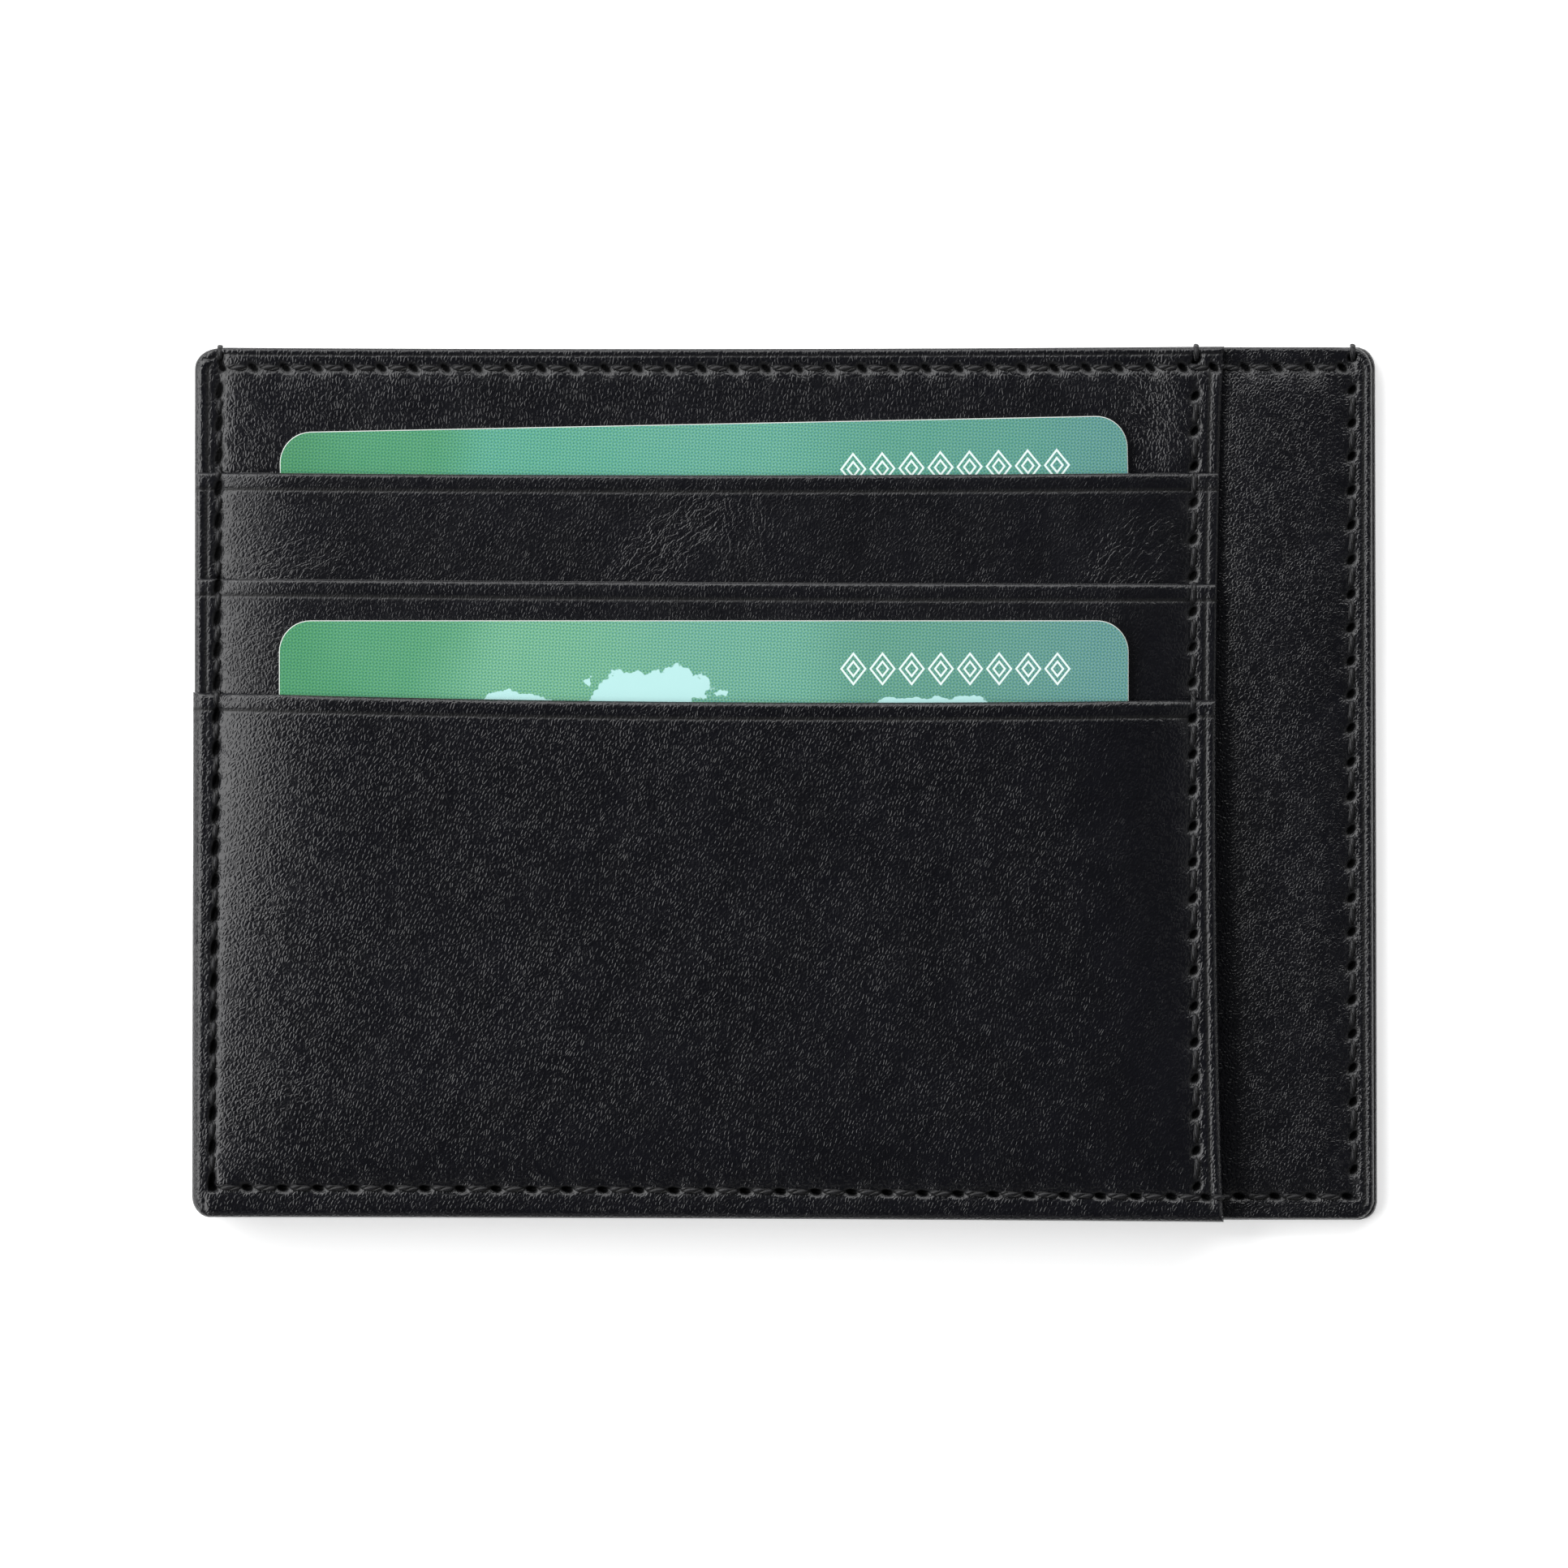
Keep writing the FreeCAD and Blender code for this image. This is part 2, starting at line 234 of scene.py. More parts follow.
def frontUnder(x, y):
    room = mix(0.04, 0.2, ease(y, lowerCardLow.y - 3.2, lowerCardLow.y - 2.6))
    clear = lowerCardHigh.z + room if lowerCardLow.x - 0.8 < x < lowerCardHigh.x + 0.8 else 0
    inside = (ease(x, leftSeam, leftSeam + 1.5) * ease(-x, -blockSeam, -blockSeam + 1.5)
              * ease(y, bottomSeam - 0.5, bottomSeam + 1))
    return max(frontTop(x, y) - 1.1 + 0.5 * inside, clear if y > bottomSeam + 0.3 else 0)


# The seam allowances of the pockets fill the border from the upper panel up to the front pocket,
# in three layers: the share of that height at which each one ends.
def allowanceTop(x, y, layer):
    roof = frontUnder(x, min(y, thirdMouth)) - 0.01
    evenly = mix(form["panelTop"], roof, layer / 3)
    atMouth = (form["panelTop"], form["firstMargin"], min(form["secondMargin"] - 0.04, roof), roof)[layer]
    return mix(evenly, min(atMouth, roof), ease(y, thirdMouth - 18, thirdMouth - 3))


# The height of the leather that shows at a place, used to lay the threads on it.
def visibleTop(x, y):
    if x > blockRight:
        return baseTop(x, y)
    if y > firstMouth:
        return panelTop(x, y)
    if y > secondMouth:
        return firstTop(x, y)
    if y > thirdMouth:
        return secondTop(x, y)
    return frontTop(x, y)


# Seams.
# Each seam is a straight line of needle holes; phase is the place of one hole along it.
def seamAlong(axis, line, start, end, phase, pitch, **more):
    return {"along": axis, "line": line, "start": start, "end": end, "phase": phase, "pitch": pitch, **more}


seams = {
    "left": seamAlong("y", leftSeam, bottomSeam, top - 1.0, 6.23, 3.335,
                      slant=9, long=0.85, dive=2.6, cover=(0.26, 0.8)),
    "right": seamAlong("y", rightSeam, bottomSeam, top - 1.0, 32.9, 3.4, inward=-1),
    "block": seamAlong("y", blockSeam, bottomSeam, top - 1.0, 31.9, 3.6, inward=-1),
    "bottom": seamAlong("x", bottomSeam, leftSeam, rightSeam, leftSeam, 3.56, slant=12, long=0.55),
    "top": seamAlong("x", topSeam, leftSeam, rightSeam, -54.1, 3.24, inward=-1),
}
stitch = {
    "valley": 0.13,        # how far the pulled thread presses the leather in
    "valleyWidth": 0.55,
    "holeDepth": 0.62,
    "holeLong": 0.54,
    "holeShort": 0.31,
    "slant": 38,
    "dive": 4,             # how suddenly a stitch's ends go down
    "cover": (0.17, 0.83),  # the share of the pitch that the thread covers
    "pucker": 0.06,
    "puckerReach": 1.3,
    "threadWide": 0.31,    # half widths of the flattened strand
    "threadHigh": 0.19,
    "turns": 0.42,         # turns of the twist per millimetre
    "rings": 9,
    "sides": 8,
}


# How far a seam presses the leather in at a place, and how much painted shade darkens its holes and the valley
# of its stitches there.
def seamPress(x, y, seamNames):
    press = 0.0
    dark = 0.0
    for seamName in seamNames:
        seam = seams[seamName]
        across, along = (x - seam["line"], y) if seam["along"] == "y" else (y - seam["line"], x)
        reach = stitch["puckerReach"] * 2
        if abs(across) > reach or not seam["start"] - 0.4 < along < seam["end"] + 0.4:
            continue
        steps = (along - seam["phase"]) / seam["pitch"]
        offset = (steps - round(steps)) * seam["pitch"]
        turn = math.radians(seam.get("slant", stitch["slant"]) * (1 if seam["along"] == "y" else -1))
        long = offset * math.cos(turn) + across * math.sin(turn)
        short = across * math.cos(turn) - offset * math.sin(turn)
        hole = bump(long, seam.get("long", stitch["holeLong"])) * bump(short, stitch["holeShort"])
        press += stitch["valley"] * bump(across, stitch["valleyWidth"]) + stitch["holeDepth"] * hole
        ripple = math.cos(2 * math.pi * steps) * (1 + 0.9 * noise.noise(Vector((steps * 0.8, across, 3.3))))
        inward = across * seam.get("inward", 1)
        press += stitch["pucker"] * ripple * bump(inward - 0.7, stitch["puckerReach"] * 0.6)
        # painted shade: near black in the needle holes, darker along the stitch valley
        dark = max(dark, min(1, 2.4 * hole), 0.3 * bump(across, stitch["valleyWidth"] * 0.7))
    return press, dark


# Mesh helpers.
# Cut positions from low to high: coarse, and close together around each mark (centre, reach, step).
def cutLines(low, high, coarse, marks):
    count = max(1, round((high - low) / coarse))
    lines = [low + (high - low) * number / count for number in range(1, count)]
    for centre, reach, step in marks:
        lines = [line for line in lines if abs(line - centre) > reach + step * 0.4]
        count = max(1, round(2 * reach / step))
        lines += [centre - reach + 2 * reach * number / count for number in range(count + 1)]
    lines = sorted(line for line in lines if low + 0.02 < line < high - 0.02)
    return [low] + lines + [high]


def flatSheet(xLines, yLines):
    bm = bmesh.new()
    bmesh.ops.create_grid(bm, x_segments=len(xLines) - 1, y_segments=len(yLines) - 1, size=1)
    for vert in bm.verts:
        vert.co.x = xLines[round((vert.co.x + 1) / 2 * (len(xLines) - 1))]
        vert.co.y = yLines[round((vert.co.y + 1) / 2 * (len(yLines) - 1))]
        vert.co.z = 0
    return bm


# Makes a flat sheet a closed one and returns the vertices of its upper side.
def doubled(bm):
    grown = bmesh.ops.extrude_face_region(bm, geom=bm.faces[:])
    return {item for item in grown["geom"] if isinstance(item, bmesh.types.BMVert)}


# Splits the edges that run along a seam, so that each needle hole has enough points.
def refineSeam(bm, seam, reach, cuts):
    axis, other = (1, 0) if seam["along"] == "y" else (0, 1)
    chosen = []
    for edge in bm.edges:
        a, b = edge.verts[0].co, edge.verts[1].co
        runsAlong = abs(a[other] - b[other]) < 0.001 and abs(a[axis] - b[axis]) > 0.3
        inside = seam["start"] - 1 < min(a[axis], b[axis]) and max(a[axis], b[axis]) < seam["end"] + 1
        if runsAlong and inside and abs(a[other] - seam["line"]) < reach:
            chosen.append(edge)
    if chosen:
        bmesh.ops.subdivide_edges(bm, edges=chosen, cuts=cuts)


def finishMesh(name, bm, material, smooth=True):
    bmesh.ops.recalc_face_normals(bm, faces=bm.faces[:])
    mesh = bpy.data.meshes.new(name)
    bm.to_mesh(mesh)
    bm.free()
    for polygon in mesh.polygons:
        polygon.use_smooth = smooth
    piece = bpy.data.objects.new(name, mesh)
    bpy.context.scene.collection.objects.link(piece)
    for item in material if isinstance(material, list) else [material]:
        mesh.materials.append(item)
    return piece


def attach(piece, body, slot, *nodes):
    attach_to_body(piece, body)
    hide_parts(*nodes)


# A corner of the grid pulled in to a round one; the lines beside it follow as arcs.
def roundCorner(x, y, outline, radius, corners):
    low, high, floor, ceiling = outline
    for cornerName in corners:
        cx = low + radius if "Left" in cornerName else high - radius
        cy = floor + radius if "bottom" in cornerName else ceiling - radius
        dx, dy = x - cx, y - cy
        outX = dx < 0 if "Left" in cornerName else dx > 0
        outY = dy < 0 if "bottom" in cornerName else dy > 0
        if outX and outY:
            scale = max(abs(dx), abs(dy)) / math.hypot(dx, dy)
            return cx + dx * scale, cy + dy * scale
    return x, y


# One leather of the holder: a closed sheet with rolled edges, pressed seams and crease lines, with painted shade
# darkening its needle holes, stitch valleys and crease grooves.
def leatherSheet(name, piece, material):
    low, high, floor, ceiling = piece["outline"]
    roll = {side: piece.get("roll", 0.4) for side in ("left", "right", "bottom", "top")}
    roll.update(piece.get("rolls", {}))
    reach = {side: 0.55 * roll[side] for side in roll}
    xMarks = [(low + reach["left"], reach["left"], 0.11), (high - reach["right"], reach["right"], 0.11)]
    yMarks = [(floor + reach["bottom"], reach["bottom"], 0.11), (ceiling - reach["top"], reach["top"], 0.11)]
    for crease in piece.get("creases", []):
        marks = xMarks if crease["axis"] == "x" else yMarks
        marks.append((crease["at"], crease["width"] * 2, crease["width"] * 0.6))
    pieceSeams = [seams[seamName] for seamName in piece.get("seams", []) + piece.get("underSeams", [])]
    for seam in pieceSeams:
        marks = xMarks if seam["along"] == "y" else yMarks
        marks.append((seam["line"], 0.8, 0.16))
    xLines = cutLines(low, high, piece.get("coarse", 0.9), xMarks)
    yLines = cutLines(floor, ceiling, piece.get("coarse", 0.9), yMarks)
    bm = flatSheet(xLines, yLines)
    # painted shade, kept per point: for the needle holes, the stitch valleys and the crease grooves
    shade = bm.verts.layers.float.new("paintedGrooveShade")
    for seam in pieceSeams:
        refineSeam(bm, seam, 0.85, 4)
    upper = doubled(bm)
    for vert in bm.verts:
        x, y = vert.co.x, vert.co.y
        isTop = vert in upper
        roof = piece["top"](x, y)
        base = piece["under"](x, y)
        press, dark = seamPress(x, y, piece.get("seams", []))
        for crease in piece.get("creases", []):
            across = (x if crease["axis"] == "x" else y) - crease["at"]
            fade = 1.0
            if "from" in crease:
                other = y if crease["axis"] == "x" else x
                fade = (ease(other, crease["from"], crease["from"] + 1)
                        * ease(-other, -crease["to"], -crease["to"] + 1))
            press += fade * crease["depth"] * bump(across, crease["width"])
            # painted shade along the crease groove
            dark = max(dark, fade * crease.get("dark", 0.75) * bump(across, crease["width"] * 0.9))
            band = crease.get("band")
            if band:
                edgeSide = across if crease["outward"] > 0 else -across
                press -= fade * band * bump(edgeSide - 0.55 * crease["inset"], 0.35 * crease["inset"])
        middle = mix(base, roof, 0.42)
        distance = min((x - low) / roll["left"], (high - x) / roll["right"],
                       (y - floor) / roll["bottom"], (ceiling - y) / roll["top"])
        if isTop:
            curve = math.sqrt(max(0.0, 1 - (1 - clamp(distance)) ** 2))
            height = mix(middle + 0.015, max(roof - press, base + 0.06), curve)
        else:
            underPress, underDark = seamPress(x, y, piece.get("underSeams", []))
            dark = underDark
            curve = math.sqrt(max(0.0, 1 - (1 - clamp(distance / 0.8)) ** 2))
            height = mix(middle - 0.015, max(base + underPress * 0.8, 0.01), curve)
        vert[shade] = clamp(dark)
        x, y = roundCorner(x, y, piece["outline"], piece.get("radius", 0.4), piece.get("corners", []))
        x, y = settle(x, y)
        vert.co = Vector((x, y, height)) * mm
    return finishMesh(name, bm, material)


# Material helpers.
class Nodes:
    def __init__(self, name):
        self.material = bpy.data.materials.new(name)
        self.material.use_nodes = True
        self.tree = self.material.node_tree
        self.shader = self.tree.nodes["Principled BSDF"]

    def add(self, kind, inputs=None, **settings):
        node = self.tree.nodes.new(kind)
        for key, value in settings.items():
            setattr(node, key, value)
        for key, value in (inputs or {}).items():
            self.set(node, key, value)
        return node

    def set(self, node, key, value):
        socket = node.inputs[key]
        if isinstance(value, bpy.types.NodeSocket):
            self.tree.links.new(value, socket)
        else:
            socket.default_value = value

    def math(self, operation, a, b=0.0, c=0.0):
        return self.add("ShaderNodeMath", {0: a, 1: b, 2: c}, operation=operation).outputs[0]

    # Object coordinates in millimetres, measured from centre, turned about Z and then stretched.
    def place(self, turn=0.0, scale=None, centre=(0, 0, 0)):
        source = self.add("ShaderNodeTexCoord").outputs["Object"]
        vector = self.add("ShaderNodeMapping", {"Vector": source, "Scale": (1 / mm, 1 / mm, 1 / mm),
                          "Location": (-centre[0], -centre[1], -centre[2])}).outputs[0]
        vector = self.add("ShaderNodeMapping", {"Vector": vector,
                          "Rotation": (0, 0, math.radians(turn))}).outputs[0]
        if scale:
            vector = self.add("ShaderNodeMapping", {"Vector": vector, "Scale": scale}).outputs[0]
        return vector

    def noise(self, vector, scale, detail=2.0, rough=0.5):
        return self.add("ShaderNodeTexNoise", {"Vector": vector, "Scale": scale, "Detail": detail,
                        "Roughness": rough})

    def remap(self, value, low, high, newLow=0.0, newHigh=1.0, smooth=True):
        return self.add("ShaderNodeMapRange", {"Value": value, "From Min": low, "From Max": high,
                        "To Min": newLow, "To Max": newHigh},
                        interpolation_type="SMOOTHSTEP" if smooth else "LINEAR").outputs[0]

    def plus(self, a, b):
        return self.add("ShaderNodeVectorMath", {0: a, 1: b}, operation="ADD").outputs[0]

    def times(self, a, factor):
        return self.add("ShaderNodeVectorMath", {0: a, "Scale": factor}, operation="SCALE").outputs[0]

    def length(self, a):
        return self.add("ShaderNodeVectorMath", {0: a}, operation="LENGTH").outputs["Value"]

    # A relief from a height map; the depth is in millimetres.
    def relief(self, strength, depth, height):
        return self.add("ShaderNodeBump", {"Strength": strength, "Distance": depth * mm,
                        "Height": height}).outputs[0]

    def mixColour(self, share, a, b, blend="MIX"):
        node = self.add("ShaderNodeMix", data_type="RGBA", blend_type=blend)
        for socket, value in ((node.inputs[0], share), (node.inputs[6], a), (node.inputs[7], b)):
            if isinstance(value, bpy.types.NodeSocket):
                self.tree.links.new(value, socket)
            else:
                socket.default_value = value
        return node.outputs[2]


# Calf leather: stretched pebble grain, fine pores, soft unevenness, and patches of longer wrinkles, with painted
# shade in its needle holes, stitch valleys and creases.
def calfLeather(name, grain):
    nodes = Nodes(name)
    turned = nodes.place(-grain["direction"])
    drift = nodes.noise(turned, 0.55, 2.0).outputs["Color"]
    drift = nodes.add("ShaderNodeVectorMath", {0: drift, 1: (0.5, 0.5, 0.5)}, operation="SUBTRACT").outputs[0]
    drift = nodes.times(drift, grain["drift"])
    moved = nodes.plus(turned, drift)
    stretch = nodes.add("ShaderNodeMapping", {"Vector": moved, "Scale": (1 / grain["long"], 1 / grain["wide"],
                        1 / grain["wide"])}).outputs[0]
    cells = nodes.add("ShaderNodeTexVoronoi", {"Vector": stretch, "Scale": 1.0, "Randomness": 1.0},
                      feature="DISTANCE_TO_EDGE").outputs["Distance"]
    pebble = nodes.remap(cells, 0.0, 0.34)
    streak = nodes.noise(stretch, 1.3, 3.0, 0.6).outputs["Fac"]
    pores = nodes.noise(moved, 5.5, 2.0, 0.6).outputs["Fac"]
    patchy = nodes.remap(nodes.noise(turned, 0.11, 2.0).outputs["Fac"], 0.35, 0.65, grain["calm"], 1.0)
    height = nodes.math("MULTIPLY", pebble, grain["pebble"])
    height = nodes.math("ADD", height, nodes.math("MULTIPLY", streak, grain["streak"]))
    height = nodes.math("MULTIPLY", height, patchy)
    height = nodes.math("ADD", height, nodes.math("MULTIPLY", pores, grain["pore"]))
    for patch in grain.get("wrinkles", []):
        near = nodes.place(-patch["direction"], (1 / patch["long"], 1 / patch["wide"], 0),
                           (*patch["centre"], 0))
        length = nodes.length(near)
        mask = nodes.remap(length, 1.0, 0.25)
        lines = nodes.place(-patch["direction"])
        wander = nodes.noise(lines, 0.35, 3.0, 0.6).outputs["Color"]
        wander = nodes.times(wander, 2.2)
        lines = nodes.plus(lines, wander)
        lines = nodes.add("ShaderNodeMapping", {"Vector": lines, "Scale": (0.22, 1.45, 1.0)}).outputs[0]
        folds = nodes.noise(lines, 1.0, 2.0, 0.5).outputs["Fac"]
        folds = nodes.math("ABSOLUTE", nodes.math("SUBTRACT", folds, 0.5))
        folds = nodes.remap(folds, 0.0, 0.09)
        height = nodes.math("ADD", height, nodes.math("MULTIPLY", nodes.math("MULTIPLY", folds, mask),
                            patch["depth"]))
    relief = nodes.relief(1.0, 0.1, height)
    # painted shade: the groove shade attribute paints near black into needle holes, stitch valleys and crease
    # grooves, and makes them rougher and less shiny
    shade = nodes.add("ShaderNodeAttribute", attribute_name="paintedGrooveShade").outputs["Fac"]
    tone = nodes.remap(nodes.noise(turned, 0.18, 3.0).outputs["Fac"], 0.3, 0.7)
    colour = nodes.mixColour(tone, (*grain["dark"], 1), (*grain["light"], 1))
    colour = nodes.mixColour(shade, colour, (0.0006, 0.0006, 0.0007, 1))
    gloss = nodes.remap(nodes.noise(turned, 0.3, 2.0).outputs["Fac"], 0.3, 0.7,
                        grain["rough"] - 0.02, grain["rough"] + 0.02)
    gloss = nodes.math("ADD", gloss, nodes.math("MULTIPLY", shade, 0.35))
    nodes.set(nodes.shader, "Base Color", colour)
    nodes.set(nodes.shader, "Roughness", gloss)
    nodes.set(nodes.shader, "Normal", relief)
    shine = nodes.remap(shade, 0.45, 1.0, 0.5, 0.05)
    nodes.set(nodes.shader, "Specular IOR Level", shine)
    return nodes.material


def wrinkle(x, y, direction, long, wide, depth):
    return {"centre": (x, y), "direction": direction, "long": long, "wide": wide, "depth": depth}


leatherGrain = {
    "direction": 64, "long": 0.58, "wide": 0.34, "drift": 0.5, "pebble": 0.28, "streak": 0.09, "pore": 0.025,
    "calm": 0.9, "rough": 0.25, "dark": (0.0018, 0.0019, 0.0034), "light": (0.0028, 0.0029, 0.0049),
    "wrinkles": [wrinkle(-52, -31, 20, 9, 5, 0.2), wrinkle(-53, -12, -12, 6, 5, 0.18)],
}
panelGrain = {
    **leatherGrain, "direction": 86, "long": 0.62, "wide": 0.36, "pebble": 0.29, "streak": 0.14, "rough": 0.27,
    "wrinkles": [wrinkle(38, 37, -58, 8, 6, 0.3), wrinkle(-54.5, 36, -60, 7, 4, 0.2)],
}
firstGrain = {
    **leatherGrain, "direction": 60, "long": 0.54, "pebble": 0.24, "streak": 0.12, "rough": 0.28,
    "wrinkles": [wrinkle(-11.5, 24.5, 43, 11, 5, 0.36), wrinkle(-5, 26, 98, 8, 7, 0.18),
                 wrinkle(-51, 21, 28, 11, 5, 0.28), wrinkle(35, 22.5, 47, 11, 6, 0.28)],
}
secondGrain = {**firstGrain, "direction": 80, "wrinkles": [wrinkle(-53, 14, 15, 8, 6, 0.22)]}
stripGrain = {
    **leatherGrain, "direction": 50, "long": 0.42, "wide": 0.34, "pebble": 0.34, "streak": 0.14, "rough": 0.27,
    "wrinkles": [],
}

frontLeather = calfLeather("frontPocketLeather", leatherGrain)
panelLeather = calfLeather("upperPanelLeather", panelGrain)
firstLeather = calfLeather("firstPocketLeather", firstGrain)
secondLeather = calfLeather("secondPocketLeather", secondGrain)
stripLeather = calfLeather("stripLeather", stripGrain)
backLeather = calfLeather("backLeather", {**leatherGrain, "direction": 20})
print("leather finishes made")


# Woven textile: two crossing sets of threads.
def wovenTextile(name, weave):
    nodes = Nodes(name)
    vector = nodes.place(weave["turn"])
    parts = nodes.add("ShaderNodeSeparateXYZ", {0: vector}).outputs
    turnRate = 2 * math.pi / weave["pitch"]
    warp = nodes.math("SINE", nodes.math("MULTIPLY", parts[0], turnRate))
    weft = nodes.math("SINE", nodes.math("MULTIPLY", parts[1], turnRate))
    crossing = nodes.math("MULTIPLY", warp, weft)
    height = nodes.math("ADD", nodes.math("ABSOLUTE", crossing), nodes.noise(vector, 2.5).outputs["Fac"])
    relief = nodes.relief(0.8, 0.04, height)
    tone = nodes.remap(crossing, -1, 1)
    nodes.set(nodes.shader, "Base Color", nodes.mixColour(tone, (*weave["dark"], 1), (*weave["light"], 1)))
    nodes.set(nodes.shader, "Normal", relief)
    fuzz = nodes.noise(vector, 0.8).outputs["Fac"]
    nodes.set(nodes.shader, "Roughness", nodes.remap(fuzz, 0, 1, 0.65, 0.85))
    nodes.shader.inputs["Sheen Weight"].default_value = 0.15
    return nodes.material


# Bonded leather board: pressed fibres, buff and matt.
def fibreBoard(name):
    nodes = Nodes(name)
    vector = nodes.place()
    fibres = nodes.noise(vector, 1.6, 4.0, 0.7).outputs["Fac"]
    nodes.set(nodes.shader, "Base Color", nodes.mixColour(fibres, (0.16, 0.10, 0.06, 1), (0.34, 0.24, 0.16, 1)))
    nodes.set(nodes.shader, "Normal", nodes.relief(0.6, 0.05, fibres))
    nodes.set(nodes.shader, "Roughness", nodes.remap(fibres, 0, 1, 0.75, 0.95))
    return nodes.material


# Bonded sewing thread: two plies twisted together, fine fibres, a waxy shine, and painted shade in the grooves
# between the plies with a painted highlight on their crests.
def sewingThread(name):
    nodes = Nodes(name)
    around = nodes.add("ShaderNodeAttribute", attribute_name="plyAround").outputs["Fac"]
    turn = nodes.add("ShaderNodeAttribute", attribute_name="plyTurn").outputs["Fac"]
    plies = nodes.math("ABSOLUTE", nodes.math("COSINE", nodes.math("SUBTRACT", around, turn)))
    plies = nodes.math("POWER", plies, 0.6)
    fibres = nodes.noise(nodes.place(), 6.0, 3.0, 0.7).outputs["Fac"]
    height = nodes.math("ADD", plies, nodes.math("MULTIPLY", fibres, 0.25))
    # painted shade and highlight: the grooves between the plies are painted darker and their crests lighter
    colour = nodes.mixColour(nodes.remap(plies, 0.3, 0.95), (0.001, 0.001, 0.0012, 1), (0.006, 0.006, 0.0075, 1))
    colour = nodes.mixColour(nodes.remap(fibres, 0.55, 0.8), colour, (0.012, 0.012, 0.014, 1))
    nodes.set(nodes.shader, "Base Color", colour)
    nodes.set(nodes.shader, "Normal", nodes.relief(1.0, 0.16, height))
    nodes.set(nodes.shader, "Roughness", nodes.remap(fibres, 0.3, 0.7, 0.34, 0.5))
    nodes.shader.inputs["Sheen Weight"].default_value = 0.04
    nodes.shader.inputs["Specular IOR Level"].default_value = 0.35
    return nodes.material


lining = wovenTextile("blackTextile", {"turn": 0, "pitch": 0.55, "dark": (0.008, 0.008, 0.009),
                                       "light": (0.022, 0.022, 0.024)})
tape = wovenTextile("reinforcingTape", {"turn": 45, "pitch": 0.4, "dark": (0.02, 0.02, 0.021),
                                        "light": (0.05, 0.05, 0.052)})
board = fibreBoard("stiffeningBoard")
thread = sewingThread("blackThread")


# Leathers.
# A crease's dark sets how much painted shade darkens its groove.
def crease(axis, at, depth, width, **more):
    return {"axis": axis, "at": at, "depth": depth, "width": width, **more}


# The pressed line below a pocket mouth, with the rolled band between it and the mouth.
def mouthCrease(mouth):
    return crease("y", mouth - 1.7, 0.085, 0.2, band=0.06, inset=1.7, outward=1)


def sideCreases(low, high, start, end):
    more = {"from": start, "to": end}
    return [crease("x", low + 1.07, 0.08, 0.2, band=0.16, inset=1.07, outward=-1, **more),
            crease("x", high - 1.35, 0.08, 0.22, band=0.06, inset=1.35, outward=1, **more)]


frontLeft = left + 0.02
sheets = {
    "backPanel": {
        "outline": (left, right, bottom, top), "radius": 2.2, "roll": 0.5,
        "corners": ["bottomLeft", "bottomRight", "topLeft", "topRight"],
        "top": lambda x, y: (backHigh.z + 0.22 * ease(y, top - 8, top - 7)
                             + 0.25 * ease(-y, -bottomSeam, -bottomSeam + 2)),
        "under": lambda x, y: 0.03 + 0.03 * swell(x, y, 12, 9.4),
        "seams": [], "underSeams": ["left", "right", "bottom", "top"], "coarse": 1.1,
    },
    "frontBase": {
        "outline": (left + 0.2, frontRight, bottom + 0.1, top - 0.05), "radius": 2.4, "roll": 0.42,
        "corners": ["bottomLeft", "bottomRight", "topLeft", "topRight"],
        "top": baseTop,
        "under": lambda x, y: mix(backHigh.z + 0.2, baseLow.z - 0.15,
                                  ease(min(x - left, frontRight - x, y - bottom), 3.2, 4.6)),
        "seams": ["right", "bottom", "top"],
        "creases": [crease("x", frontRight - 1.0, 0.08, 0.2, band=0.06, inset=1.0, outward=1,
                           **{"from": bottom + 1, "to": top - 1})],
    },
    "upperPanel": {
        "outline": (left + 0.2, blockRight + 0.1, bottom + 0.2, top), "radius": 2.6, "roll": 0.6,
        "corners": ["bottomLeft", "topLeft"],
        "top": panelTop, "under": panelUnder,
        "seams": ["left", "block", "top"],
        "creases": sideCreases(left + 0.2, blockRight + 0.1, firstMouth - 2, top - 0.8)
                   + [crease("y", top - 0.75, 0.06, 0.14, band=0.04, inset=0.75, outward=1, dark=0.4)],
    },
    "firstPocket": {
        "outline": (left + 0.15, blockRight + 0.05, firstLow.y, firstMouth), "radius": 0.3,
        "corners": ["topLeft", "topRight"], "roll": 0.42,
        "top": firstTop, "under": firstUnder,
        "seams": ["left", "block"],
        "creases": sideCreases(left + 0.15, blockRight + 0.05, firstLow.y, firstMouth - 0.5)
                   + [mouthCrease(firstMouth)],
    },
    "secondPocket": {
        "outline": (left + 0.15, blockRight, secondLow.y, secondMouth), "radius": 0.3,
        "corners": ["topLeft", "topRight"], "roll": 0.42,
        "top": secondTop, "under": secondUnder,
        "seams": ["left", "block"],
        "creases": sideCreases(left + 0.15, blockRight, secondLow.y, secondMouth - 0.5)
                   + [mouthCrease(secondMouth)],
    },
    "frontPocket": {
        "outline": (frontLeft, blockRight + 0.05, bottom - 0.05, thirdMouth), "radius": 2.1,
        "corners": ["bottomLeft"], "roll": 0.55, "rolls": {"left": 1.6, "bottom": 1.2, "right": 0.7},
        "top": frontTop, "under": frontUnder,
        "seams": ["left", "block", "bottom"],
        "creases": [crease("x", frontLeft + 1.4, 0.03, 0.25, band=0.2, inset=1.4, outward=-1, dark=0.1)]
                   + sideCreases(frontLeft, blockRight + 0.05, bottom + 1, thirdMouth - 0.5)[1:]
                   + [mouthCrease(thirdMouth)],
    },
}
